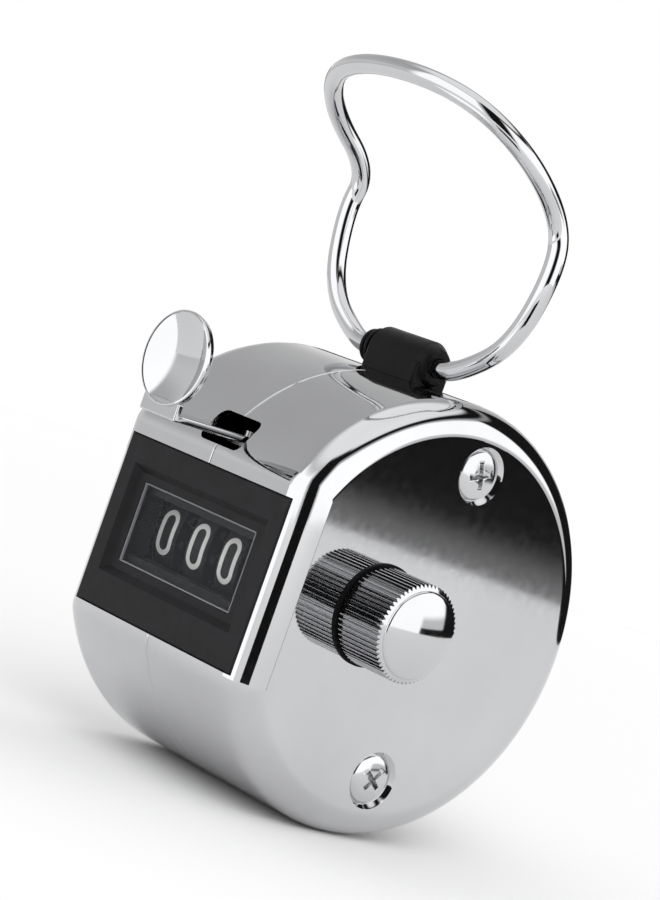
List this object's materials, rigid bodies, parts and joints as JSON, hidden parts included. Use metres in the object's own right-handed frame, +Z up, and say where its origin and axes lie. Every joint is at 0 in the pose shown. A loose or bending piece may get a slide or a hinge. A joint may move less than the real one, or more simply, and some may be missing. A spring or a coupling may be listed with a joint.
{
  "type": "hand tally counter",
  "caption": "Chrome drum-shaped hand counter with a thumb lever, number wheels behind a window, a knurled reset knob and a finger ring.",
  "frame": {"origin": "centre of the flat left side of the drum, on the drum's axis", "axes": "+X along the drum's axis towards the reset knob, +Y to the back, +Z up towards the finger ring; the number window faces -Y"},
  "size_m": [0.0392, 0.0511, 0.0746],
  "materials": {
    "chrome_shell": "mirror chrome plate",
    "chrome_lever": "polished chrome plate",
    "chrome_knob": "polished chrome plate, knurled",
    "chrome_wire": "polished chrome wire",
    "chrome_screw": "polished chrome plate",
    "black_panel": "satin moulded black",
    "black_holder": "satin moulded black",
    "black_bush": "moulded black",
    "clear_lens": "clear moulded window",
    "black_wheel": "moulded black",
    "white_numeral": "printed white",
    "white_pinion": "moulded natural acetal",
    "zinc_steel": "bright zinc plate",
    "ground_steel": "ground steel",
    "brass_bush": "turned brass",
    "spring_steel": "spring steel"
  },
  "bodies": {
    "casing": {"left_shell": "chrome_shell", "right_shell": "chrome_shell", "window_panel": "black_panel", "window_lens": "clear_lens", "left_frame_plate": "zinc_steel", "right_frame_plate": "zinc_steel", "casing_posts": "zinc_steel", "post_spacers": "zinc_steel", "cover_screws": "chrome_screw", "shaft_bushes": "brass_bush", "pinion_shaft": "ground_steel", "lever_pivot_pin": "ground_steel", "click_stud": "ground_steel", "click_spring": "spring_steel", "lever_return_spring": "spring_steel", "ring_holder": "black_holder", "holder_rivet": "zinc_steel", "knob_bush": "black_bush", "shaft_clips": "spring_steel"},
    "lever": {"thumb_lever": "chrome_lever", "lever_yoke": "zinc_steel", "lever_rivets": "ground_steel", "pawl_pin": "ground_steel", "pawl_spring": "spring_steel"},
    "pawl": {"drive_pawl": "ground_steel"},
    "units": {"units_wheel": "black_wheel", "ratchet_wheel": "ground_steel"},
    "tens": {"tens_wheel": "black_wheel"},
    "hundreds": {"hundreds_wheel": "black_wheel"},
    "thousands": {"thousands_wheel": "black_wheel"},
    "tens_carry": {"tens_pinion": "white_pinion"},
    "hundreds_carry": {"hundreds_pinion": "white_pinion"},
    "thousands_carry": {"thousands_pinion": "white_pinion"},
    "reset": {"number_shaft": "ground_steel", "reset_knob": "chrome_knob", "knob_cap": "chrome_knob"},
    "ring": {"finger_ring": "chrome_wire"}
  },
  "joints": [
    {"name": "thumb_press", "type": "hinge", "parent": "casing", "child": "lever", "pos_m": [0, -0.0125, -0.012], "axis": [-1, 0, 0], "range_deg": [0, 10], "stiffness_Nm_per_rad": 0.12, "springref_deg": -6.88, "deforming": ["lever_return_spring", "click_spring"]},
    {"name": "pawl_swing", "type": "hinge", "parent": "lever", "child": "pawl", "pos_m": [0.024, -0.0148, 0.0099], "axis": [-1, 0, 0], "range_deg": [-12, 1]},
    {"name": "units_turn", "type": "hinge", "parent": "casing", "child": "units", "pos_m": [0, -0.0065, 0], "axis": [-1, 0, 0], "range_deg": [0, 36.5]},
    {"name": "tens_turn", "type": "hinge", "parent": "casing", "child": "tens", "pos_m": [0, -0.0065, 0], "axis": [-1, 0, 0], "continuous": true},
    {"name": "hundreds_turn", "type": "hinge", "parent": "casing", "child": "hundreds", "pos_m": [0, -0.0065, 0], "axis": [-1, 0, 0], "continuous": true},
    {"name": "thousands_turn", "type": "hinge", "parent": "casing", "child": "thousands", "pos_m": [0, -0.0065, 0], "axis": [-1, 0, 0], "continuous": true},
    {"name": "tens_pinion_turn", "type": "hinge", "parent": "casing", "child": "tens_carry", "pos_m": [0, 0.00208, -0.0072], "axis": [-1, 0, 0], "continuous": true},
    {"name": "hundreds_pinion_turn", "type": "hinge", "parent": "casing", "child": "hundreds_carry", "pos_m": [0, 0.00208, -0.0072], "axis": [-1, 0, 0], "continuous": true},
    {"name": "thousands_pinion_turn", "type": "hinge", "parent": "casing", "child": "thousands_carry", "pos_m": [0, 0.00208, -0.0072], "axis": [-1, 0, 0], "continuous": true},
    {"name": "reset_turn", "type": "hinge", "parent": "casing", "child": "reset", "pos_m": [0, -0.0065, 0], "axis": [1, 0, 0], "continuous": true},
    {"name": "ring_swing", "type": "hinge", "parent": "casing", "child": "ring", "pos_m": [0.015, 0, 0.0246], "axis": [1, 0, 0], "range_deg": [-100, 50]}
  ],
  "couplings": [
    {"joint": "units_turn", "follows": "thumb_press", "ratio": 3.6},
    {"joint": "pawl_swing", "follows": "thumb_press", "ratio": -0.955},
    {"joint": "tens_pinion_turn", "follows": "tens_turn", "ratio": -2.5},
    {"joint": "hundreds_pinion_turn", "follows": "hundreds_turn", "ratio": -2.5},
    {"joint": "thousands_pinion_turn", "follows": "thousands_turn", "ratio": -2.5}
  ]
}
